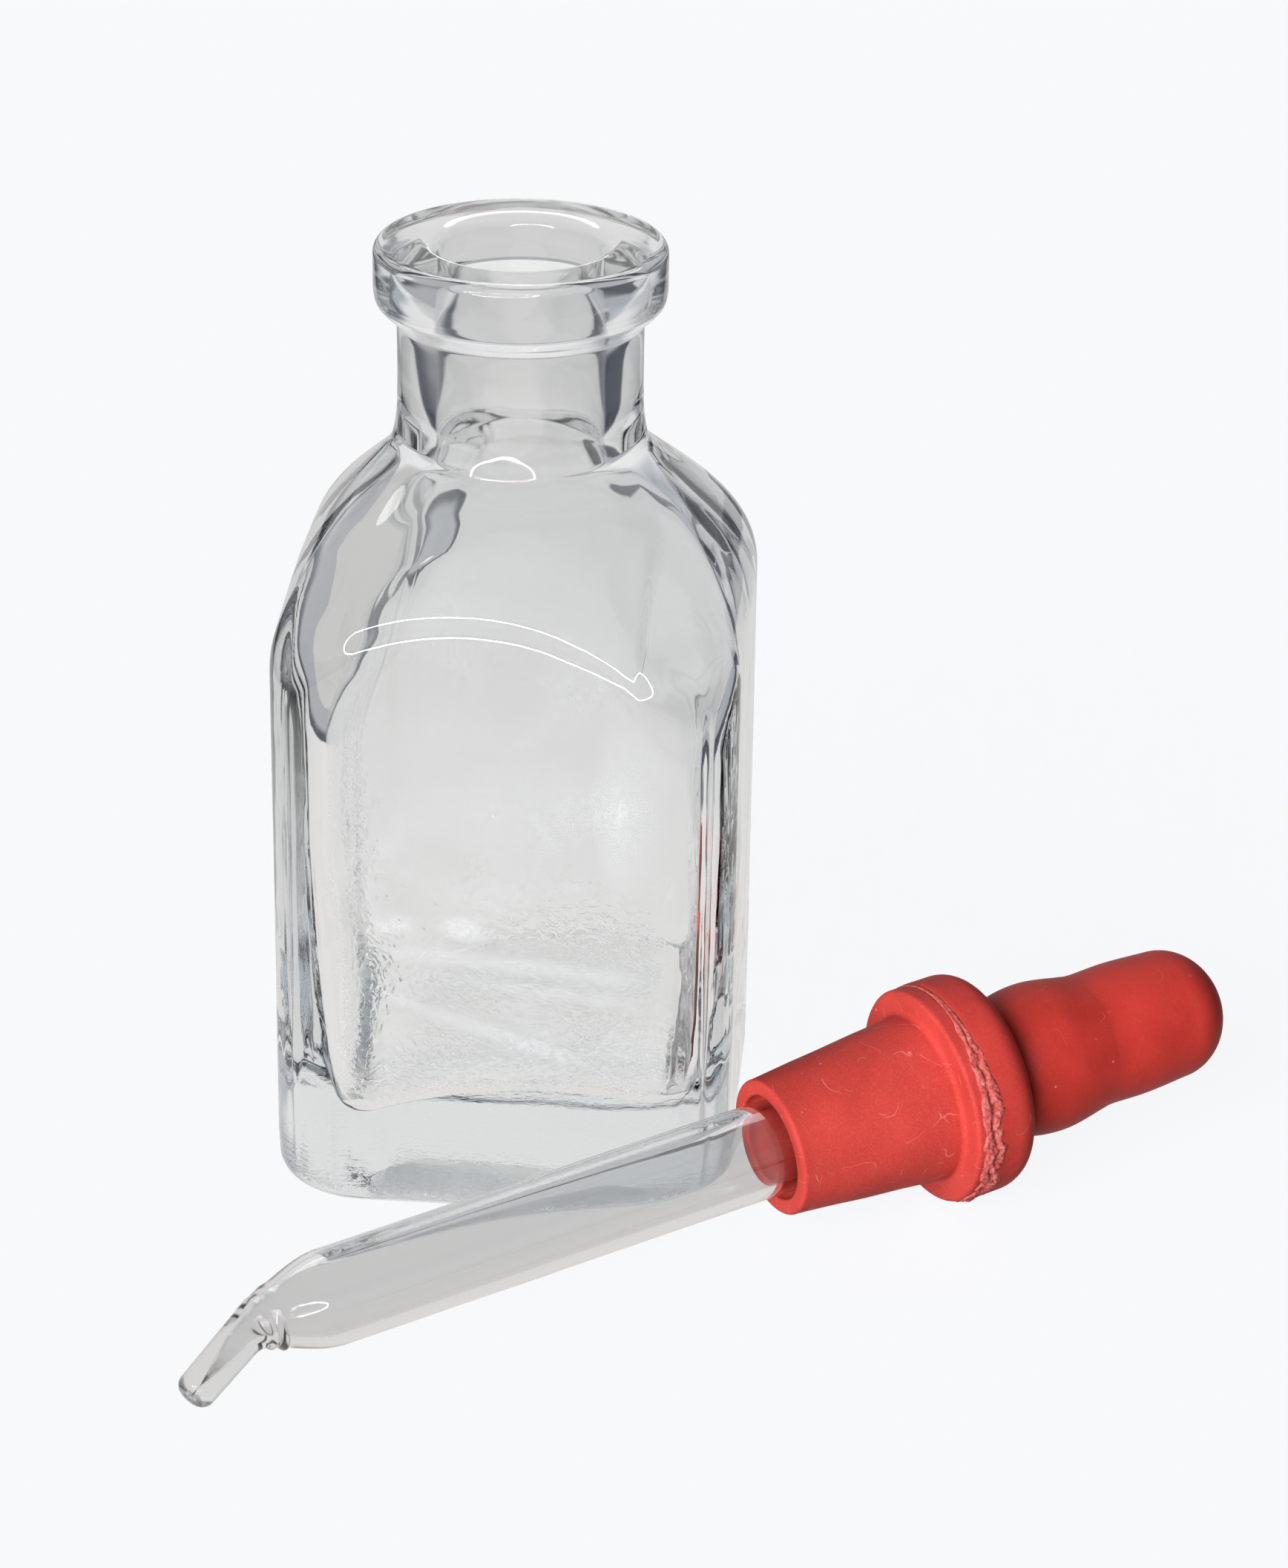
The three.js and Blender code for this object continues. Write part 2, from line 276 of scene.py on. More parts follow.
def thin_lines(n, place, scale, seed, width):
    """Long thin curved lines: the level lines of a smooth noise, broken up by another."""
    shifted = n.add("ShaderNodeVectorMath", {"operation": "ADD"})
    n.set(shifted, "#0", place)
    n.set(shifted, "#1", (seed, seed * 0.7, seed * 1.3))
    spot = shifted.outputs[0]
    level = n.math("ABSOLUTE", n.math("SUBTRACT", n.noise(spot, scale, detail=0.6), 0.5))
    line = n.ramp(level, (0.0, 1.0), (width, 0.0))
    gate = n.ramp(n.noise(spot, 0.45, detail=1.0), (0.56, 0.0), (0.62, 1.0))
    return n.math("MULTIPLY", line, gate)


GLASS_DENSITY = 13.0


def clear_glass(n, tint, roughness, normal, haze_and_highlight=None):
    """Glass surface that lets lamp light straight through, with an optional matt white veil: a milky haze,
    and painted highlights where the caller adds them.
    """
    glass = n.add(
        "ShaderNodeBsdfPrincipled", Base_Color=tint, Roughness=roughness, IOR=1.5,
        Transmission_Weight=1.0, Normal=normal,
    )
    surface = glass.outputs[0]
    if haze_and_highlight:
        white = n.add("ShaderNodeBsdfDiffuse", Color=rgb(0.8, 0.81, 0.82), Normal=normal)
        veiled = n.add("ShaderNodeMixShader", Fac=haze_and_highlight)
        n.set(veiled, "#1", surface)
        n.set(veiled, "#2", white.outputs[0])
        surface = veiled.outputs[0]
    clear = n.add("ShaderNodeBsdfTransparent", Color=rgb(0.93, 0.94, 0.94))
    path = n.add("ShaderNodeLightPath")
    lamp_ray = n.math("MAXIMUM", path.outputs["Is Shadow Ray"], path.outputs["Is Diffuse Ray"])
    mix = n.add("ShaderNodeMixShader", Fac=lamp_ray)
    n.set(mix, "#1", surface)
    n.set(mix, "#2", clear.outputs[0])
    depth = n.add("ShaderNodeVolumeAbsorption", Color=rgb(0.64, 0.69, 0.71), Density=GLASS_DENSITY)
    n.add("ShaderNodeOutputMaterial", Surface=mix.outputs[0], Volume=depth.outputs[0])


def pipette_glass():
    material, n = new_material("pipette_glass")
    place = millimetres(n)
    normal = n.bump(n.noise(place, 0.12, detail=1.0), 0.06, 0.5 * MM)
    height = n.math("MULTIPLY", n.add("ShaderNodeSeparateXYZ", Vector=place).outputs["Z"], 0.01)
    raised = 0.7
    bend = raised + DRAW_START * 0.01
    dull = n.ramp(n.math("ADD", height, raised), (bend - 0.06, 0.14), (bend, 0.0))
    clear_glass(n, rgb(0.830, 0.836, 0.842), dull, normal)
    return material


def soft_mark(n, x, z, middle, half_size, slope=0.0):
    """Soft-edged oval mark on the wall: 1 in its middle and 0 outside it."""
    across = n.math("MULTIPLY", n.math("SUBTRACT", x, middle[0]), 1 / half_size[0])
    level = n.math("ADD", n.math("MULTIPLY", n.math("SUBTRACT", x, middle[0]), slope), middle[1])
    up = n.math("MULTIPLY", n.math("SUBTRACT", z, level), 1 / half_size[1])
    spread = n.math("ADD", n.math("MULTIPLY", across, across), n.math("MULTIPLY", up, up))
    return n.ramp(spread, (0.0, 1.0), (0.45, 0.5), (1.0, 0.0))


# Painted highlights: pale patches in the white veil on the front wall. Columns: middle (x, z), half size,
# slope, strength
PAINTED_HIGHLIGHTS = (
    ((11.2, 41.0), (3.0, 10.0), 0.0, 0.26),
    ((-3.0, 27.8), (2.6, 1.5), -0.1, 0.50),
    ((-9.3, 27.9), (2.6, 1.2), 0.1, 0.32),
    ((2.5, 24.3), (15.0, 1.1), -0.08, 0.29),
    ((5.5, 21.6), (12.0, 0.8), -0.12, 0.20),
    ((0.5, 17.0), (14.0, 1.1), -0.33, 0.28),
)


def bottle_glass():
    """Moulded glass: smooth above, with a mottled and slightly clouded inner wall lower down, and painted
    highlights on its front wall.
    """
    material, n = new_material("bottle_glass")
    place = millimetres(n)
    parts = n.add("ShaderNodeSeparateXYZ", Vector=place)
    x, y = parts.outputs["X"], parts.outputs["Y"]
    height = n.math("MULTIPLY", parts.outputs["Z"], 0.01)
    reach = n.math("MAXIMUM", n.math("ABSOLUTE", x), n.math("ABSOLUTE", y))
    within = n.math("LESS_THAN", reach, BODY_HALF_WIDTH - 1.5)
    top = MOTTLE_TOP * 0.01
    low = n.ramp(height, (0.07, 0.0), (0.11, 1.0), (top * 0.9, 1.0), (top * 1.15, 0.0))
    inner = n.math("MULTIPLY", low, within)
    beside = n.ramp(n.math("MULTIPLY", n.math("ABSOLUTE", x), 0.01), (0.120, 1.0), (0.150, 0.0))
    flat = n.math("MULTIPLY", inner, beside)
    under = n.math("MULTIPLY", n.ramp(height, (0.01, 0.35), (0.02, 0.0)), within)
    grain = n.noise(place, 1.1, detail=2.5, roughness=0.6, distortion=0.5)
    patch = n.noise(place, 0.11, detail=1.5, distortion=0.8)
    normal = n.bump(n.noise(place, 0.12, detail=1.0), 0.25, 0.5 * MM)
    normal = n.bump(grain, n.math("MAXIMUM", flat, under), 0.14 * MM, normal)
    drawn_out = n.noise(millimetres(n, (1, 1, 0.1)), 1.0, detail=1.5)
    sides = n.math("MULTIPLY", inner, n.math("SUBTRACT", 1.0, beside))
    normal = n.bump(drawn_out, n.math("MULTIPLY", sides, 0.5), 0.14 * MM, normal)
    patches = n.ramp(patch, (0.38, 0.05), (0.62, 1.0))
    cloud = n.math("MULTIPLY", patches, n.ramp(grain, (0.38, 0.25), (0.62, 1.0)))
    streak = thin_lines(n, place, 0.045, 7.0, 0.012)
    in_front = n.math("LESS_THAN", y, -8.0)
    haze_and_highlight = n.math("ADD", n.math("MULTIPLY", cloud, 0.17), n.math("MULTIPLY", streak, 0.14))
    # Painted highlights: pale oval patches added to the veil at the listed spots on the front wall.
    for middle, half_size, slope, strength in PAINTED_HIGHLIGHTS:
        mark = soft_mark(n, x, parts.outputs["Z"], middle, half_size, slope)
        mark = n.math("MULTIPLY", mark, n.ramp(grain, (0.3, 0.7), (0.6, 1.0)))
        haze_and_highlight = n.math("ADD", haze_and_highlight, n.math("MULTIPLY", n.math("MULTIPLY", mark, in_front), strength))
    facing = n.ramp(n.math("MULTIPLY", n.math("ABSOLUTE", x), 0.01), (0.11, 1.0), (0.155, 0.0))
    haze_and_highlight = n.math("MULTIPLY", haze_and_highlight, n.math("MULTIPLY", inner, facing))
    roughness = n.ramp(height, (0.5, 0.0), (0.80, 0.07))
    clear_glass(n, rgb(0.985, 0.99, 0.99), roughness, normal, haze_and_highlight)
    return material


def specks(n, place, spacing, size):
    """Scattered pale dots, one in some of the cells of a Voronoi pattern."""
    cells = n.add("ShaderNodeTexVoronoi", Vector=place, Scale=1 / spacing, Randomness=1.0)
    chance = n.add("ShaderNodeSeparateXYZ", Vector=cells.outputs["Color"]).outputs["X"]
    dot = n.ramp(cells.outputs["Distance"], (size * 0.5, 1.0), (size, 0.0))
    return n.math("MULTIPLY", dot, n.math("GREATER_THAN", chance, 0.62))


def rubber_material(name, colour, dust, roughness, grain, painted_shade=0.0):
    """Red rubber: uneven colour, pale dust, specks, fine scratches, and painted shade in creases and
    towards the bulb's tip.
    """
    material, n = new_material(name)
    place = millimetres(n)
    cloud = n.noise(place, 0.2, detail=4.0, roughness=0.55)
    fine = n.noise(place, 4.5, detail=3.0, roughness=0.7)
    dark = tuple(c * 0.9 for c in colour)
    light = tuple(c * 1.06 + 0.004 for c in colour)
    base = n.mix(n.ramp(cloud, (0.35, 0.0), (0.65, 1.0)), rgb(*dark), rgb(*light))
    powder = n.math("MULTIPLY", n.ramp(fine, (0.45, 0.0), (0.8, 1.0)), dust)
    base = n.mix(powder, base, rgb(0.80, 0.27, 0.23))
    line = n.math("MAXIMUM", thin_lines(n, place, 0.16, 3.0, 0.004),
                  thin_lines(n, place, 0.35, 41.0, 0.008))
    base = n.mix(n.math("MULTIPLY", line, dust * 2.2), base, rgb(0.86, 0.36, 0.31))
    base = n.mix(n.math("MULTIPLY", specks(n, place, 1.7, 0.085), 0.55), base, rgb(0.88, 0.55, 0.48))
    # Painted shade: the colour is darkened where ambient occlusion finds creases and gaps between parts,
    # and towards the bulb's tip.
    if painted_shade:
        near = n.add("ShaderNodeAmbientOcclusion", {"samples": 8}, Distance=3.5 * MM).outputs["AO"]
        height = n.math("MULTIPLY", n.add("ShaderNodeSeparateXYZ", Vector=place).outputs["Z"], 0.01)
        tip = BULB_END * 0.01
        tip_shade = n.ramp(height, (tip - 0.075, 0.0), (tip - 0.03, 0.45), (tip, 1.0))
        shade_mask = n.math("MAXIMUM", n.ramp(near, (0.15, 1.0), (0.75, 0.0)), tip_shade)
        base = n.mix(n.math("MULTIPLY", shade_mask, painted_shade), base, rgb(0.05, 0.002, 0.002))
    rough = n.math("ADD", n.math("MULTIPLY", fine, 0.2), roughness)
    normal = n.bump(cloud, 0.2, 0.5 * MM)
    normal = n.bump(fine, grain, 0.06 * MM, normal)
    normal = n.bump(line, 0.5 * dust, -0.05 * MM, normal)
    shader = n.add(
        "ShaderNodeBsdfPrincipled", Base_Color=base, Roughness=rough, Normal=normal,
        IOR=1.5, Specular_IOR_Level=0.12,
    )
    n.add("ShaderNodeOutputMaterial", Surface=shader.outputs[0])
    return material


def torn_material():
    """Paler, rough rubber where the moulding flash has torn."""
    material, n = new_material("torn_rubber")
    place = millimetres(n)
    fine = n.noise(place, 1.8, detail=5.0, roughness=0.75, distortion=0.6)
    fibre = n.ramp(fine, (0.34, (0.34, 0.05, 0.045)), (0.44, (0.58, 0.09, 0.08)),
                   (0.56, (0.64, 0.16, 0.145)), (0.7, (0.74, 0.30, 0.28)))
    normal = n.bump(fine, 0.6, 0.2 * MM)
    shader = n.add(
        "ShaderNodeBsdfPrincipled", Base_Color=fibre, Roughness=0.85, Normal=normal,
        Specular_IOR_Level=0.2,
    )
    n.add("ShaderNodeOutputMaterial", Surface=shader.outputs[0])
    return material


# ---------------------------------------------------------------- bottle

BODY_CORNER_RADIUS = 8.6
BASE_EDGE_RADIUS = 1.9
FOOT_RING_WIDTH = 3.2
BASE_HOLLOW_DEPTH = 0.8
BASE_HOLLOW_RUN = 12.0
SHOULDER_BOTTOM = 51.6
SHOULDER_TOP = 68.3
NECK_RADIUS = 11.0
NECK_FLARE = 0.5
LIP_RADIUS = 13.05
LIP_BOTTOM = 80.9
LIP_FILLET = 1.7
LIP_ROUNDING = 1.0
SHOULDER_FULLNESS = 2.08
SHOULDER_SWEEP = 1.3245
CAVITY_HALF_WIDTH = 17.1
CAVITY_BOTTOM_HALF_WIDTH = 15.9
CAVITY_TAPER_TOP = 36.0
CAVITY_SHIFT = 0.8
CAVITY_CORNER_RADIUS = 4.4
CAVITY_FLOOR_CENTRE = 13.1
CAVITY_FLOOR_PEAK_X = 4.8
CAVITY_FLOOR_FALL = 4.4
CAVITY_FLOOR_REACH = 20.0
CAVITY_FLOOR_ROUNDING = 2.3
CAVITY_SHOULDER_BOTTOM = 50.0
CAVITY_SHOULDER_TOP = 67.5
CAVITY_SWEEP = 1.25
CORNER_GROWTH_START = 45.0
CORNER_GROWTH_RISE = 19.0
ARCH_BOTTOM = 44.0
ARCH_TOP = 68.0
ARCH_FADE_IN = 8.0
ARCH_FADE_OUT = 13.0
ARCH_FRONT = 14.0
ARCH_LOWEST = -1.5
ARCH_MIDDLE = -3.0
ARCH_RISE = 3.6
ARCH_FALL = 9.6
MOUTH_RADIUS = 7.5
MOUTH_FLARE = 1.4
MOTTLE_TOP = 44.0
MOULD_LINE_HEIGHT = 0.2
MOULD_LINE_SPREAD = 0.014
FLUTE_DEPTH = 0.3
FLUTE_SPREAD = 0.24
FLUTE_TOP = 20.0
OUTSIDE_UNEVENNESS = {"amount": 0.12, "size": 12.0, "seed": 3.1, "low": 1.0, "high": 66.0}
INSIDE_UNEVENNESS = {"amount": 0.3, "size": 11.0, "seed": 8.4, "low": 5.0, "high": 64.0}


def square_reach(angle, half_width, corner):
    """Distance from the middle of a rounded square to its outline, along a direction."""
    turn = angle % (math.pi / 2)
    folded = min(turn, math.pi / 2 - turn)
    straight = half_width - corner
    if math.tan(folded) <= straight / half_width:
        return half_width / math.cos(folded)
    along = straight * (math.cos(folded) + math.sin(folded))
    return along + math.sqrt(along ** 2 - 2 * straight ** 2 + corner ** 2)


def section_angles(flat_steps, corner_steps):
    """Directions spread along the flats and close together round the corners."""
    flat_end = math.atan2(BODY_HALF_WIDTH - BODY_CORNER_RADIUS, BODY_HALF_WIDTH)
    angles = []
    for quadrant in range(4):
        start = quadrant * math.pi / 2
        angles += [start + lerp(-flat_end, flat_end, i / flat_steps) for i in range(flat_steps)]
        corner_end = math.pi / 2 - flat_end
        angles += [start + lerp(flat_end, corner_end, i / corner_steps) for i in range(corner_steps)]
    return angles


ANGLES = section_angles(30, 44)


def mould_line(angle, z):
    """Height of the fine ridge along each corner, and of the shallow flutes round its foot."""
    off_corner = (angle % (math.pi / 2)) - math.pi / 4
    ridge = MOULD_LINE_HEIGHT * math.exp(-((off_corner / MOULD_LINE_SPREAD) ** 2))
    flutes = FLUTE_DEPTH * noise.noise(Vector((angle * 15, z * 0.05, 2.7)))
    fade = math.exp(-((off_corner / FLUTE_SPREAD) ** 2)) * smoothstep((FLUTE_TOP - z) / 6)
    return ridge + flutes * fade


def ridged(rows):
    """Adds the mould's ridges to sections of the outside."""
    result = []
    for row in rows:
        scales = [1 + mould_line(angle, z) / math.hypot(x, y) for angle, (x, y, z) in zip(ANGLES, row)]
        result.append([(x * scale, y * scale, z) for scale, (x, y, z) in zip(scales, row)])
    return result


def section(z, half_width, corner, inset=0.0, circle=0.0, squareness=1.0, shift=0.0):
    """Level section: a rounded square drawn in by inset, then mixed towards a circle."""
    row = []
    for angle in ANGLES:
        square = square_reach(angle, half_width - inset, max(corner - inset, 0.5))
        reach = circle + (square - circle) * squareness
        row.append((reach * math.cos(angle) + shift * squareness, reach * math.sin(angle), z))
    return row


def round_section(z, radius):
    return section(z, 1.0, 0.5, circle=radius, squareness=0.0)


def shoulder_squareness(t, sweep=SHOULDER_SWEEP):
    return (1 - t ** SHOULDER_FULLNESS) ** sweep


def cavity_corner(z):
    """Corner radius of the cavity, growing up the shoulder until it is nearly round."""
    t = smoothstep((z - CORNER_GROWTH_START) / CORNER_GROWTH_RISE)
    return lerp(CAVITY_CORNER_RADIUS, CAVITY_HALF_WIDTH - 1.5, t)


def arch(rows):
    """Makes the shoulder of the front face start higher in the middle than at its edges."""
    rows = np.array(rows, float)
    x, y, z = rows[..., 0], rows[..., 1], rows[..., 2]
    rise = np.clip((z - ARCH_BOTTOM) / ARCH_FADE_IN, 0, 1)
    ease = np.clip((ARCH_TOP - z) / ARCH_FADE_OUT, 0, 1)
    fade = rise * ease * np.clip(-y / ARCH_FRONT, 0, 1)
    lift = ARCH_RISE - ARCH_FALL * ((x - ARCH_MIDDLE) / BODY_HALF_WIDTH) ** 2
    rows[..., 2] = z + fade * np.maximum(lift, ARCH_LOWEST)
    return rows


def bottle_outside():
    half, corner = BODY_HALF_WIDTH, BODY_CORNER_RADIUS
    foot = BASE_EDGE_RADIUS + FOOT_RING_WIDTH
    rows = []
    for i in range(8, 0, -1):
        t = i / 8
        depth = BASE_HOLLOW_DEPTH * smoothstep(t * 1.6)
        rows.append(section(depth, half, corner, foot + BASE_HOLLOW_RUN * t))
    rows.append(section(0, half, corner, foot))
    for inset, z in quarter(BASE_EDGE_RADIUS, BASE_EDGE_RADIUS, BASE_EDGE_RADIUS, 270, 180, 8):
        rows.append(section(z, half, corner, inset))
    heights = [lerp(BASE_EDGE_RADIUS, SHOULDER_BOTTOM, i / 24) for i in range(1, 24)]
    rows += ridged([section(z, half, corner) for z in heights])
    for i in range(36):
        t = i / 36
        z = lerp(SHOULDER_BOTTOM, SHOULDER_TOP, t)
        rows.append(section(z, half, corner, circle=NECK_RADIUS + NECK_FLARE * t,
                            squareness=shoulder_squareness(t)))
    rim = curve_through([
        (NECK_RADIUS + NECK_FLARE, SHOULDER_TOP),
        (NECK_RADIUS + NECK_FLARE * 0.35, SHOULDER_TOP + 1.6),
        (NECK_RADIUS, SHOULDER_TOP + 4),
        (NECK_RADIUS, LIP_BOTTOM - LIP_FILLET - 0.6),
        (NECK_RADIUS + 0.35, LIP_BOTTOM - LIP_FILLET + 0.45),
        (LIP_RADIUS - 0.85, LIP_BOTTOM - 0.4),
        (LIP_RADIUS - 0.2, LIP_BOTTOM + 0.35),
        (LIP_RADIUS, LIP_BOTTOM + 1.4),
    ], 5)
    rim += quarter(LIP_RADIUS - LIP_ROUNDING, BOTTLE_HEIGHT - LIP_ROUNDING, LIP_ROUNDING, 0, 90, 8)
    return rows + [round_section(z, radius) for radius, z in rim]


def cavity_floor(x, y):
    """The floor is domed: high in the middle and low in the corners."""
    off = (x - CAVITY_FLOOR_PEAK_X) ** 2 + y ** 2
    return CAVITY_FLOOR_CENTRE - CAVITY_FLOOR_FALL * off / CAVITY_FLOOR_REACH ** 2


def cavity_wall(z, inset=0.0):
    """Level section of the cavity below its shoulder."""
    half = lerp(CAVITY_BOTTOM_HALF_WIDTH, CAVITY_HALF_WIDTH, smoothstep(z / CAVITY_TAPER_TOP))
    return section(z, half, cavity_corner(z), inset, shift=CAVITY_SHIFT)


def bottle_inside():
    flare = quarter(MOUTH_RADIUS + MOUTH_FLARE, BOTTLE_HEIGHT - MOUTH_FLARE, MOUTH_FLARE, 90, 180, 8)
    rows = [round_section(z, radius) for radius, z in flare]
    for i in range(1, 8):
        z = lerp(BOTTLE_HEIGHT - MOUTH_FLARE, CAVITY_SHOULDER_TOP, i / 8)
        rows.append(round_section(z, MOUTH_RADIUS))
    for i in range(36, -1, -1):
        t = i / 36
        z = lerp(CAVITY_SHOULDER_BOTTOM, CAVITY_SHOULDER_TOP, t)
        rows.append(section(z, CAVITY_HALF_WIDTH, cavity_corner(z), circle=MOUTH_RADIUS,
                            squareness=shoulder_squareness(t, CAVITY_SWEEP), shift=CAVITY_SHIFT))
    top = CAVITY_FLOOR_CENTRE + CAVITY_FLOOR_ROUNDING
    for i in range(1, 40):
        rows.append(cavity_wall(lerp(CAVITY_SHOULDER_BOTTOM, top, i / 40)))
    for step in range(17):
        turn = math.pi / 2 * step / 16
        inset = CAVITY_FLOOR_ROUNDING * (1 - math.cos(turn))
        rise = CAVITY_FLOOR_ROUNDING * (1 - math.sin(turn))
        lean = 1 - math.sin(turn)
        row = [(x, y, lerp(cavity_floor(x, y), CAVITY_FLOOR_CENTRE, lean) + rise)
               for x, y, _ in cavity_wall(top, inset)]
        rows.append(row)
    for i in range(1, 11):
        t = i / 11
        edge = cavity_wall(top, CAVITY_FLOOR_ROUNDING)
        row = [(lerp(x, CAVITY_SHIFT, t), lerp(y, 0, t)) for x, y, _ in edge]
        rows.append([(x, y, cavity_floor(x, y)) for x, y in row])
    return rows


def uneven(rows, amount, size, seed, low, high):
    """Pushes points in or out of the wall by smooth noise, fading out beyond two heights."""
    rows = np.array(rows, float)
    for row in rows:
        for point in row:
            fade = smoothstep((point[2] - low) / 4) * smoothstep((high - point[2]) / 6)
            reach = math.hypot(point[0], point[1])
            if fade == 0 or reach < 1:
                continue
            spot = (point[0], point[1], point[2] * 0.45)
            shift = amount * fade * ripple(spot, size, seed)
            point[:2] *= 1 + shift / reach
    return rows


def make_bottle():
    outside = uneven(arch(bottle_outside()), **OUTSIDE_UNEVENNESS)
    inside = uneven(arch(bottle_inside()), **INSIDE_UNEVENNESS)
    piece = grid_object("bottle_glass", np.vstack([outside, inside]), bottle_glass(), poles=True)
    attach(piece, "bottle")
    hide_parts("bottle")


# ---------------------------------------------------------------- glass tube

TUBE_RADIUS = 4.32
TUBE_WALL = 0.95
BEND_START = -48.9
BEND_RADIUS = 7.7
BEND_ANGLE = math.radians(29.5)
BEND_AZIMUTH = math.radians(-46)
DRAW_START = -43.7
DRAW_LENGTH = 9.9
NOZZLE_LENGTH = 6.85
NOZZLE_RADIUS = 1.85
NOZZLE_TIP_RADIUS = 1.75
NOZZLE_BORE_RADIUS = 0.75
WRINKLES = (-49.3, -50.7)
WRINKLE_HEIGHT = 0.34
WRINKLE_WIDTH = 0.42


def tube_frame(distance):
    """Middle of the tube at a distance from its top, with the directions across it."""
    bend_distance = TUBE_TOP - BEND_START
    angle = min(max((distance - bend_distance) / BEND_RADIUS, 0.0), BEND_ANGLE)
    before = min(distance, bend_distance)
    after = max(distance - bend_distance - BEND_RADIUS * BEND_ANGLE, 0.0)
    side = BEND_RADIUS * (1 - math.cos(angle)) + after * math.sin(BEND_ANGLE)
    drop = before + BEND_RADIUS * math.sin(angle) + after * math.cos(BEND_ANGLE)
    lean = np.array([math.cos(BEND_AZIMUTH), math.sin(BEND_AZIMUTH), 0.0])
    across = np.array([math.sin(BEND_AZIMUTH), -math.cos(BEND_AZIMUTH), 0.0])
    centre = lean * side + np.array([0, 0, TUBE_TOP - drop])
    outward = lean * math.cos(angle) + np.array([0, 0, math.sin(angle)])
    return centre, outward, across


def wrinkle(distance):
    """Height of the two wrinkles left where the glass was bent."""
    total = 0.0
    for place in WRINKLES:
        total += math.exp(-(((distance - (TUBE_TOP - place)) / WRINKLE_WIDTH) ** 2))
    return WRINKLE_HEIGHT * total


def tube_ring(distance, radius, count=120):
    """Ring of points round the tube, wrinkled on the inner side of the bend."""
    centre, outward, across = tube_frame(distance)
    a = np.linspace(0, 2 * math.pi, count, endpoint=False)[:, None]
    inner_side = np.clip(0.85 + 0.6 * np.cos(a), 0, 1)
    swelling = wrinkle(distance) * inner_side if radius > NOZZLE_RADIUS - 0.1 else 0.0
    return centre + (radius + swelling) * (np.cos(a) * outward + np.sin(a) * across)


def drawn(start_radius, end_radius):
    """Profile of the drawn-down stretch, as (distance, radius)."""
    points = []
    for i in range(49):
        t = i / 48
        distance = TUBE_TOP - DRAW_START + t * DRAW_LENGTH
        radius = lerp(start_radius, end_radius, smoothstep(t * 1.04))
        points.append((distance, radius))
    return points


def make_pipette():
    draw = TUBE_TOP - DRAW_START
    end = TUBE_TOP - BEND_START + BEND_RADIUS * BEND_ANGLE + NOZZLE_LENGTH
    lip = NOZZLE_TIP_RADIUS - NOZZLE_BORE_RADIUS
    bore = TUBE_RADIUS - TUBE_WALL
    half_wall = TUBE_WALL / 2
    outside = [(d, r) for r, d in quarter(TUBE_RADIUS - half_wall, half_wall, half_wall, 270, 360, 5)]
    outside += [(lerp(half_wall, draw, i / 30), TUBE_RADIUS) for i in range(1, 30)]
    outside += drawn(TUBE_RADIUS, NOZZLE_RADIUS)
    outside += [(lerp(draw + DRAW_LENGTH, end - lip, i / 8), lerp(NOZZLE_RADIUS, NOZZLE_TIP_RADIUS, i / 8))
                for i in range(1, 8)]
    outside += [(d, r) for d, r in quarter(end - lip, NOZZLE_BORE_RADIUS, lip, 90, -60, 12)]
    inside = drawn(bore, NOZZLE_BORE_RADIUS)[::-1]
    inside += [(lerp(draw, half_wall, i / 30), bore) for i in range(1, 30)]
    inside += [(d, r) for r, d in quarter(bore + half_wall, half_wall, half_wall, 180, 270, 5)][:-1]
    rows = [tube_ring(distance, radius) for distance, radius in outside + inside]
    piece = grid_object("pipette_glass", rows, pipette_glass(), wrap_rows=True)
    piece.matrix_world = DROPPER
    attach(piece, "pipette")
    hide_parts("glass_pipette")


# ---------------------------------------------------------------- rubber

PLUG_LENGTH = 16.0
PLUG_SMALL_RADIUS = 6.4
PLUG_LARGE_RADIUS = 7.8
FLANGE_LENGTH = 6.9
FLANGE_SHOULDER = 2.4
DISC_STEP = 0.2
BORE_RADIUS = 4.45
MOUTH_FLARE_RADIUS = 4.9
BULB_NECK_RADIUS = 5.6
BULB_BULGE_RADIUS = 7.1
BULB_BULGE_AT = 6.5
BULB_WAIST_RADIUS = 6.4
BULB_WAIST_AT = 11.2
BULB_END_RADIUS = 6.15
BULB_CAP_LENGTH = 5.4
BULB_WALL = 1.5
BULB_BASE = PLUG_LENGTH + FLANGE_LENGTH
GRIP_AT = 15.0
GRIP_REACH = 6.2
RUBBER_COLUMNS = 144


def wobble(rows, amount, size, seed):
    """Slight moulding unevenness, across the dropper's axis."""
    rows = np.array(rows, float)
    for row in rows:
        for point in row:
            reach = math.hypot(point[0], point[1])
            if reach > 1e-6:
                point[:2] *= 1 + amount * ripple(point, size, seed) / reach
    return rows


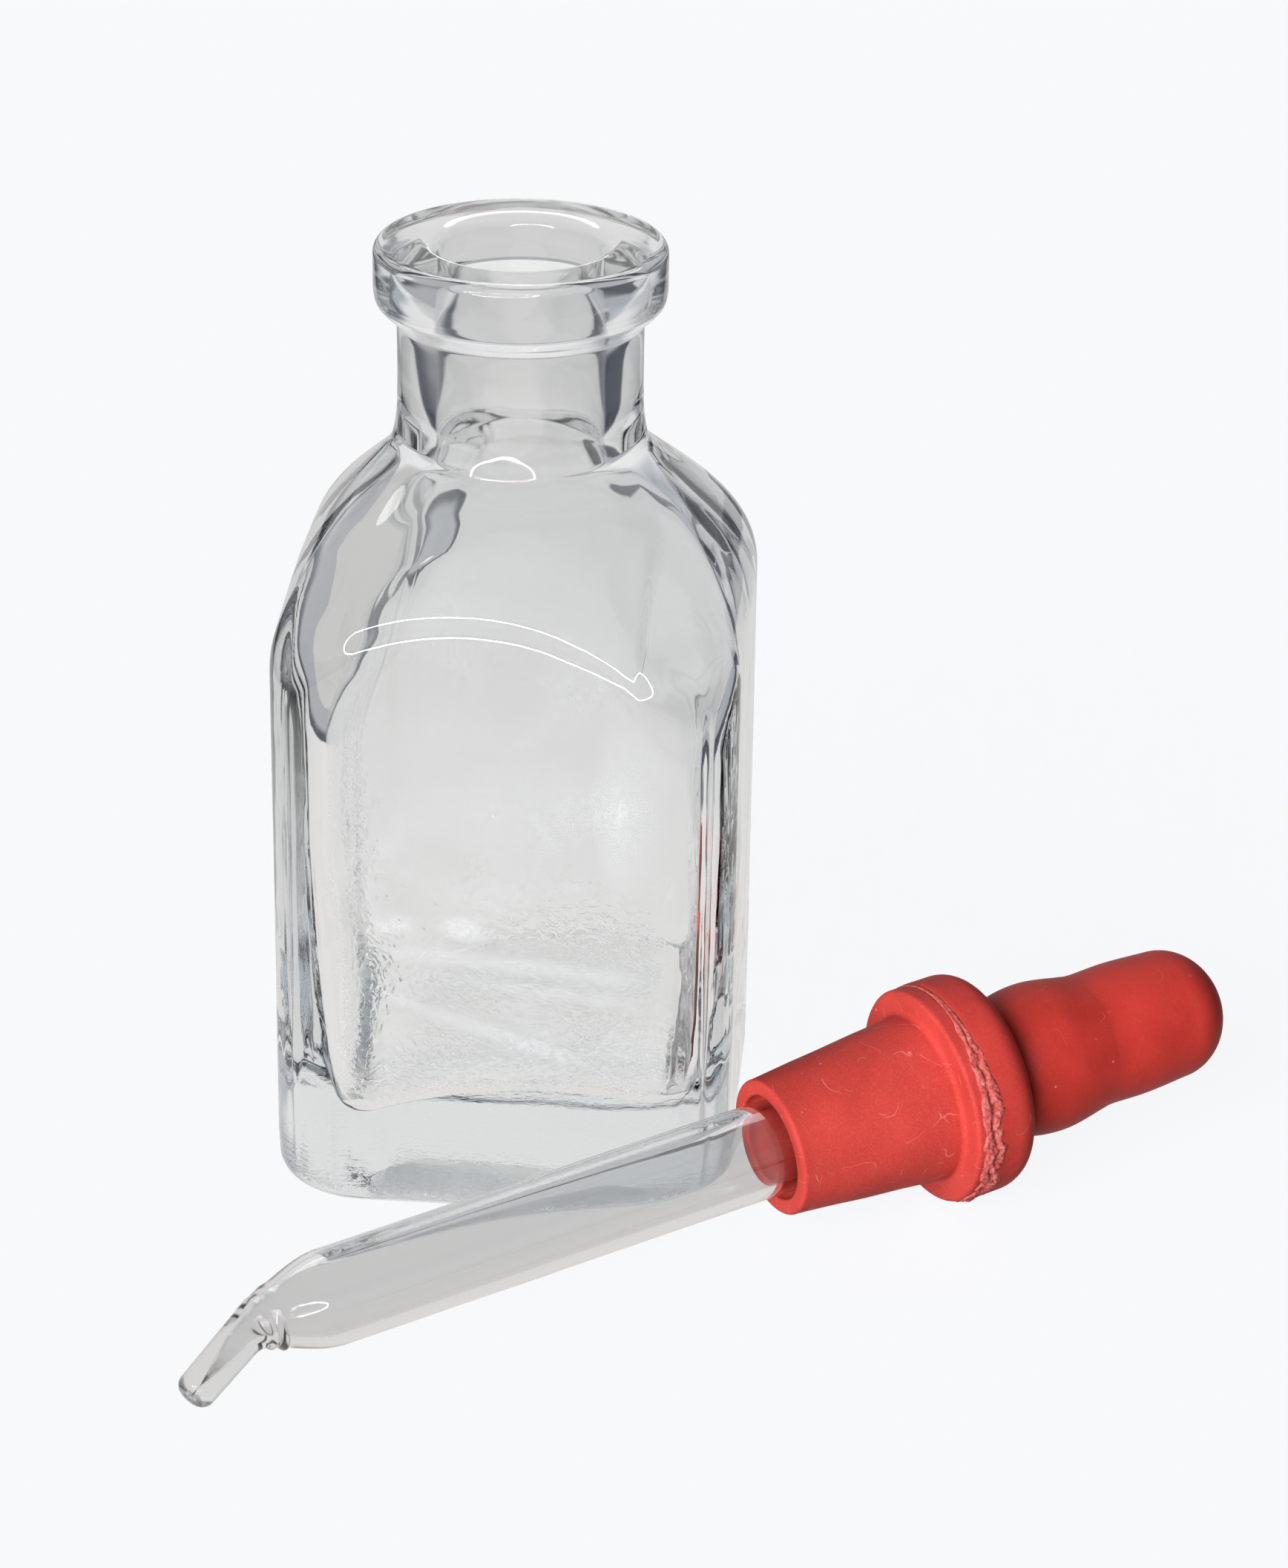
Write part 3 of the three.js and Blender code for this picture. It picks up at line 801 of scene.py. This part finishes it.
def make_stopper(material):
    outline = quarter(MOUTH_FLARE_RADIUS + 0.25, 0.25, 0.25, 180, 265, 4)
    outline += quarter(PLUG_SMALL_RADIUS - 0.4, 0.4, 0.4, 270, 355, 6)
    outline += [(lerp(PLUG_SMALL_RADIUS, PLUG_LARGE_RADIUS, t), lerp(0.7, PLUG_LENGTH - 0.7, t))
                for t in np.linspace(0, 1, 40)]
    outline += quarter(PLUG_LARGE_RADIUS + 0.55, PLUG_LENGTH - 0.55, 0.55, 180, 90, 6)
    disc = FLANGE_RADIUS - DISC_STEP
    outline += [(lerp(PLUG_LARGE_RADIUS + 0.7, disc - 0.6, t), PLUG_LENGTH) for t in np.linspace(0, 1, 8)]
    outline += quarter(disc - 0.4, PLUG_LENGTH + 0.4, 0.4, 270, 360, 6)
    outline += [(disc, lerp(PLUG_LENGTH + 0.5, SEAM - 0.35, t)) for t in np.linspace(0, 1, 8)]
    outline += [(disc - 0.12, SEAM - 0.12), (disc - 0.3, SEAM)]
    outline += [(BORE_RADIUS, SEAM)]
    outline += [(BORE_RADIUS, lerp(SEAM, 2.4, t)) for t in np.linspace(0.05, 1, 20)]
    outline += [(lerp(BORE_RADIUS, MOUTH_FLARE_RADIUS, smoothstep(t)), lerp(2.2, 0.5, t))
                for t in np.linspace(0, 1, 8)]
    rows = wobble(turned_rows(outline, RUBBER_COLUMNS), 0.06, 5.0, 2.2)
    piece = grid_object("stopper_moulding", rows, material, wrap_rows=True)
    piece.matrix_world = DROPPER
    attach(piece, "rubber_top")
    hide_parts("rubber_stopper")


def make_rear_ring(material):
    """Rear half of the flange, moulded with the bulb."""
    front = SEAM + 0.06
    outline = [(BORE_RADIUS, front), (FLANGE_RADIUS - 0.35, front), (FLANGE_RADIUS - 0.14, front + 0.12)]
    outline += [(FLANGE_RADIUS, lerp(front + 0.4, BULB_BASE - FLANGE_SHOULDER - 0.1, t))
                for t in np.linspace(0, 1, 6)]
    outline += quarter(FLANGE_RADIUS - FLANGE_SHOULDER, BULB_BASE - FLANGE_SHOULDER,
                       FLANGE_SHOULDER, 0, 84, 10)
    outline += [(BULB_NECK_RADIUS + 0.6, BULB_BASE - 0.05), (BULB_NECK_RADIUS + 0.1, BULB_BASE - 0.35),
                (BULB_NECK_RADIUS - 0.3, BULB_BASE - 0.9), (BORE_RADIUS, BULB_BASE - 1.0)]
    rows = wobble(turned_rows(outline, RUBBER_COLUMNS), 0.1, 6.0, 5.5)
    piece = grid_object("flange_rear_ring", rows, material, wrap_rows=True)
    piece.matrix_world = DROPPER
    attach(piece, "rubber_top")
    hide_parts("rubber_bulb")


def bulb_outline():
    """Outline of the bulb as (radius, height above the flange), from the flange to the tip."""
    length = BULB_END - BULB_BASE
    outline = curve_through([
        (BULB_NECK_RADIUS - 0.6, -0.9),
        (BULB_NECK_RADIUS - 0.4, 0.0),
        (BULB_BULGE_RADIUS - 0.85, 1.6),
        (BULB_BULGE_RADIUS - 0.28, 3.2),
        (BULB_BULGE_RADIUS - 0.03, 4.8),
        (BULB_BULGE_RADIUS, BULB_BULGE_AT),
        (BULB_BULGE_RADIUS - 0.22, BULB_BULGE_AT + 1.7),
        (BULB_WAIST_RADIUS + 0.12, BULB_WAIST_AT - 1.1),
        (BULB_WAIST_RADIUS - 0.08, BULB_WAIST_AT + 0.5),
        (BULB_WAIST_RADIUS, 15.5),
        (BULB_END_RADIUS, length - BULB_CAP_LENGTH),
    ], 10)
    start = length - BULB_CAP_LENGTH
    for i in range(1, 25):
        a = math.radians(90 * i / 24)
        outline.append((BULB_END_RADIUS * math.cos(a), start + BULB_CAP_LENGTH * math.sin(a)))
    outline[-1] = (0.02, length)
    return outline


def make_bulb_half(name, side, material):
    """Half of the bulb, on one side of the plane between the two grip faces."""
    outer = bulb_outline()
    inner = [(max(r - BULB_WALL, 0.02), min(h, BULB_END - BULB_BASE - BULB_WALL)) for r, h in outer]
    inner = [(BORE_RADIUS if h < 2.0 else r, h) for r, h in inner]
    loop = outer + inner[::-1]
    columns = 73
    turns = np.linspace(-math.pi / 2, math.pi / 2, columns)
    rows, weights = [], []
    for radius, height in loop:
        for turn in turns:
            x, y = side * radius * math.cos(turn), side * radius * math.sin(turn)
            rows.append((x, y, BULB_BASE + height))
            reach = math.exp(-(((height - GRIP_AT) / GRIP_REACH) ** 2))
            weights.append(reach * math.cos(turn) ** 2)
    rows = np.array(rows).reshape(len(loop), columns, 3)
    piece = grid_object(name, rows, material, wrap_columns=False, wrap_rows=True)
    piece.matrix_world = DROPPER
    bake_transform(piece)
    return piece


def seam_wear(angle):
    """How badly the seam is torn, from 0 to 1: worst on the near and lower side."""
    return smoothstep(0.52 + 0.42 * math.cos(angle) - 0.56 * math.sin(angle))


def make_torn_seam(material):
    """Ragged moulding flash round the seam of the flange."""
    count, across = 900, 34
    rows = []
    for k in range(across + 1):
        t = k / across
        row = []
        for i in range(count):
            a = 2 * math.pi * i / count
            wear = seam_wear(a)
            around = Vector((FLANGE_RADIUS * math.cos(a), FLANGE_RADIUS * math.sin(a), 0))
            sway = 0.3 * wear * ripple(around, 2.6, 2.9)
            front = SEAM - 0.16 - wear * (1.0 + 0.45 * ripple(around, 1.2, 6.1)) + sway
            rear = SEAM + 0.14 + wear * (0.8 + 0.45 * ripple(around, 0.9, 8.3)) + sway
            height = lerp(front, rear, t)
            point = around + Vector((0, 0, height))
            fibres = abs(ripple(point, 0.5, 4.2)) + 0.6 * ripple(point, 1.3, 6.6)
            groove = math.exp(-(((t - 0.5 - 0.3 * ripple(around, 1.6, 1.7)) / 0.13) ** 2))
            crown = math.sin(math.pi * t) ** 0.5
            lift = crown * (0.06 + wear * (0.14 + 0.42 * fibres - 0.35 * groove))
            radius = FLANGE_RADIUS - 0.14 + lift
            row.append((radius * math.cos(a), radius * math.sin(a), height))
        rows.append(row)
    inner = [[(x * 0.94, y * 0.94, z) for x, y, z in row] for row in (rows[-1], rows[0])]
    piece = grid_object("torn_seam", rows + inner, material, wrap_rows=True)
    piece.matrix_world = DROPPER
    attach(piece, "rubber_top")


def make_rubber():
    stopper = rubber_material("stopper_rubber", (0.62, 0.054, 0.042), 0.22, 0.5, 0.5)
    # The last number for the bulb and the ring is the strength of their painted shade in creases and at the
    # tip.
    bulb = rubber_material("bulb_rubber", (0.58, 0.040, 0.030), 0.08, 0.42, 0.25, 0.85)
    make_stopper(stopper)
    make_rear_ring(rubber_material("ring_rubber", (0.60, 0.047, 0.037), 0.15, 0.5, 0.4, 0.6))
    make_torn_seam(torn_material())
    upper = make_bulb_half("bulb_upper_half", -1, bulb)
    lower = make_bulb_half("bulb_lower_half", 1, bulb)
    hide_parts("bulb_grip_upper")
    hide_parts("bulb_grip_lower")


# ---------------------------------------------------------------- studio

SHEET_LEFT = -0.135
SHEET_RIGHT = 0.100
SHEET_BACK = 0.55
SHEET_BLUR = 0.006
TABLE_REACH_LEFT = 0.21
TABLE_REACH_RIGHT = 0.26
SEEN_WHITE = (0.99, 1.0, 1.02)
PAPER = (0.650, 0.645, 0.640)
PAPER_MIDDLE = (0.740, 0.735, 0.730)
PAPER_NEAR = (0.830, 0.805, 0.785)
TABLE = (0.065, 0.075, 0.095)
BEYOND = (0.42, 0.43, 0.45)
FLOOR_REACH = 4.0
FLOOR_GAP = 0.00005
# Colours of the room that the glass sees, by the height of the direction: horizon to zenith
ROOM_COLOURS = (
    (0.0, (0.90, 0.90, 0.89)),
    (0.3, (0.84, 0.86, 0.88)),
    (0.6, (0.58, 0.62, 0.66)),
    (1.0, (0.62, 0.66, 0.70)),
)
# Patches of the room: direction, cosine where the patch starts, cosine where it is full, colour
ROOM_PATCHES = (
    ((0.62, 0.62, 0.35), 0.75, 0.92, (0.42, 0.45, 0.50)),
    ((0.91, 0.24, 0.34), 0.968, 0.978, (0.12, 0.13, 0.15)),
    ((-0.91, 0.24, 0.34), 0.968, 0.978, (0.12, 0.13, 0.15)),
    ((-0.90, 0.40, 0.14), 0.84, 0.93, (0.60, 0.59, 0.58)),
    ((0.0, 0.8, 0.6), 0.80, 0.93, (0.90, 0.89, 0.88)),
)
KEY_DIRECTION = Vector((-0.36, -0.88, 0.30)).normalized()
KEY_LIGHT = (10.5, 10.5, 10.5)
FILL_LIGHT = (0.025, 0.026, 0.028)
MATT_NEAR = (0.9, 0.9, 0.9)
MATT_FAR = (0.04, 0.04, 0.04)


def band(n, value, low, high, blur):
    """1 between two values and 0 outside them, with soft edges."""
    rise = n.add("ShaderNodeMapRange", {"interpolation_type": "SMOOTHSTEP"})
    fall = n.add("ShaderNodeMapRange", {"interpolation_type": "SMOOTHSTEP"})
    for node, start, end in ((rise, low - blur, low + blur), (fall, high + blur, high - blur)):
        n.set(node, "Value", value)
        n.set(node, "From Min", start)
        n.set(node, "From Max", end)
    return n.math("MULTIPLY", rise.outputs["Result"], fall.outputs["Result"])


def make_floor():
    """Pale floor. Seen directly it is nearly white; the glass sees a sheet of paper on a dark table."""
    material, n = new_material("pale_floor")
    material.cycles.emission_sampling = "NONE"
    path = n.add("ShaderNodeLightPath")
    pale = n.add("ShaderNodeEmission", Color=rgb(*SEEN_WHITE))
    matt = n.add("ShaderNodeBsdfDiffuse", Color=rgb(0.9, 0.9, 0.91))
    seen = n.add("ShaderNodeMixShader", Fac=0.10)
    n.set(seen, "#1", pale.outputs[0])
    n.set(seen, "#2", matt.outputs[0])
    place = n.add("ShaderNodeNewGeometry").outputs["Position"]
    parts = n.add("ShaderNodeSeparateXYZ", Vector=place)
    across = band(n, parts.outputs["X"], SHEET_LEFT, SHEET_RIGHT, SHEET_BLUR)
    along = band(n, parts.outputs["Y"], -2.0, SHEET_BACK, 0.03)
    near = band(n, parts.outputs["X"], -TABLE_REACH_LEFT, TABLE_REACH_RIGHT, 0.05)
    colour = n.mix(near, rgb(*BEYOND), rgb(*TABLE))
    behind = n.math("ADD", parts.outputs["Y"], 0.5)
    paper = n.ramp(behind, (0.50, PAPER_NEAR), (0.57, PAPER_MIDDLE), (0.68, PAPER))
    colour = n.mix(across, colour, paper)
    colour = n.mix(along, rgb(*BEYOND), colour)
    # To all but camera rays the floor glows, though it is no lamp. Matt surfaces see the glow as a stand-in
    # for light bounced off the floor: bright in front of and left of the dropper, nearly dark elsewhere.
    front = n.ramp(behind, (0.40, 1.0), (0.47, 0.0))
    left = n.ramp(n.math("ADD", parts.outputs["X"], 0.5), (0.50, 1.0), (0.60, 0.0))
    front = n.math("MULTIPLY", front, left)
    matt_light = n.mix(front, rgb(*MATT_FAR), rgb(*MATT_NEAR))
    colour = n.mix(path.outputs["Is Diffuse Ray"], colour, matt_light)
    sheet = n.add("ShaderNodeEmission", Color=colour)
    floor = n.add("ShaderNodeMixShader", Fac=path.outputs["Is Camera Ray"])
    n.set(floor, "#1", sheet.outputs[0])
    n.set(floor, "#2", seen.outputs[0])
    n.add("ShaderNodeOutputMaterial", Surface=floor.outputs[0])
    signs = ((-1, -1), (1, -1), (1, 1), (-1, 1))
    corners = [(FLOOR_REACH * x, FLOOR_REACH * y, -FLOOR_GAP) for x, y in signs]
    stage_object("floor", corners, [(0, 1, 2, 3)], material)


def toward(n, direction, aim):
    """How nearly a direction points the same way as another: 1 when it does."""
    product = n.add("ShaderNodeVectorMath", {"operation": "DOT_PRODUCT"})
    n.set(product, "#0", direction)
    n.set(product, "#1", tuple(aim))
    return product.outputs["Value"]


def make_world():
    """Soft studio: matt surfaces are lit from the front left, the glass sees a pale room."""
    world = bpy.data.worlds.new("studio")
    bpy.context.scene.world = world
    world.use_nodes = True
    world.cycles.sampling_method = "NONE"
    n = Nodes(world.node_tree)
    direction = n.add("ShaderNodeTexCoord").outputs["Generated"]
    height = n.add("ShaderNodeSeparateXYZ", Vector=direction).outputs["Z"]
    key = n.ramp(toward(n, direction, KEY_DIRECTION), (0.86, 0.0), (0.98, 1.0))
    soft = n.mix(key, rgb(*FILL_LIGHT), rgb(*KEY_LIGHT))
    room = n.ramp(height, *ROOM_COLOURS)
    for aim, start, full, colour in ROOM_PATCHES:
        patch = n.ramp(toward(n, direction, Vector(aim).normalized()), (start, 0.0), (full, 1.0))
        room = n.mix(patch, room, rgb(*colour))
    path = n.add("ShaderNodeLightPath")
    lit = n.mix(path.outputs["Is Diffuse Ray"], room, soft)
    shown = n.mix(path.outputs["Is Camera Ray"], lit, rgb(*SEEN_WHITE))
    background = n.add("ShaderNodeBackground", Color=shown)
    n.add("ShaderNodeOutputWorld", Surface=background.outputs[0])


LAMP_AIM = Vector((0, 0, 0.06))
LAMP_POINTS = 96
LOOP_LAMP = {"name": "loop_lamp", "azimuth": 189, "elevation": 9, "distance": 0.40, "brightness": 110.0,
             "half_size": (0.21, 0.10), "rim": 0.005}
BACK_LAMP = {"name": "back_lamp", "azimuth": 356, "elevation": 8, "distance": 0.50, "brightness": 3.0,
             "half_size": (0.05, 0.03), "rim": 0.03}
TOP_LAMP = {"name": "top_lamp", "azimuth": 357, "elevation": 53, "distance": 0.55, "brightness": 5.0,
            "half_size": (0.42, 0.12), "rim": 0.12}


def make_lamp(name, azimuth, elevation, distance, brightness, half_size, rim):
    """Oval band of light facing the bottle, seen only as highlights on glass and rubber."""
    material, n = new_material(name)
    material.cycles.emission_sampling = "NONE"
    glow = n.add("ShaderNodeEmission", Color=rgb(1, 1, 1), Strength=brightness)
    n.add("ShaderNodeOutputMaterial", Surface=glow.outputs[0])
    level, turn = math.radians(elevation), math.radians(azimuth)
    outward = Vector((math.sin(turn) * math.cos(level), math.cos(turn) * math.cos(level), math.sin(level)))
    count = LAMP_POINTS
    points = []
    for trim in (0, rim):
        for i in range(count):
            a = 2 * math.pi * i / count
            points.append(((half_size[0] - trim) * math.cos(a), (half_size[1] - trim) * math.sin(a), 0))
    faces = [(i, (i + 1) % count, count + (i + 1) % count, count + i) for i in range(count)]
    lamp = stage_object(name, points, faces, material)
    lamp.location = LAMP_AIM + outward * distance
    lamp.rotation_euler = outward.to_track_quat("Z", "Y").to_euler()
    lamp.visible_camera = False
    lamp.visible_diffuse = False
    lamp.visible_transmission = False
    lamp.visible_shadow = False


CAMERA_HEADING = 0.074
CAMERA_PITCH = 0.434
CAMERA_ROLL = 0.016
CAMERA_PLACE = Vector((0.01157, -0.3717, 0.2063))
SENSOR_WIDTH = 36.0
LENS = 101.3


def make_camera():
    """Camera in front of the bottle, looking down at it, turned a little and leaning a little."""
    turn = Matrix.Rotation(CAMERA_HEADING, 3, "Z")
    forward = turn @ Vector((0, math.cos(CAMERA_PITCH), -math.sin(CAMERA_PITCH)))
    level = turn @ Vector((1, 0, 0))
    upward = turn @ Vector((0, math.sin(CAMERA_PITCH), math.cos(CAMERA_PITCH)))
    right = level * math.cos(CAMERA_ROLL) + upward * math.sin(CAMERA_ROLL)
    above = upward * math.cos(CAMERA_ROLL) - level * math.sin(CAMERA_ROLL)
    data = bpy.data.cameras.new("camera")
    data.sensor_width = SENSOR_WIDTH
    data.lens = LENS
    camera = bpy.data.objects.new("camera", data)
    place = turn @ CAMERA_PLACE
    columns = (right, above, -forward)
    camera.matrix_world = Matrix.Translation(place) @ Matrix(
        [[columns[j][i] for j in range(3)] + [0] for i in range(3)] + [[0, 0, 0, 1]]
    )
    bpy.context.scene.collection.objects.link(camera)
    bpy.context.scene.camera = camera


def make_studio():
    make_floor()
    make_world()
    make_lamp(**LOOP_LAMP)
    make_lamp(**BACK_LAMP)
    make_lamp(**TOP_LAMP)
    make_camera()
    scene = bpy.context.scene
    scene.view_settings.view_transform = "Standard"
    scene.cycles.max_bounces = 20
    scene.cycles.transmission_bounces = 18
    scene.cycles.glossy_bounces = 8
    scene.cycles.transparent_max_bounces = 16
    scene.cycles.caustics_reflective = False
    scene.cycles.caustics_refractive = False


make_bottle()
make_pipette()
make_rubber()
make_studio()
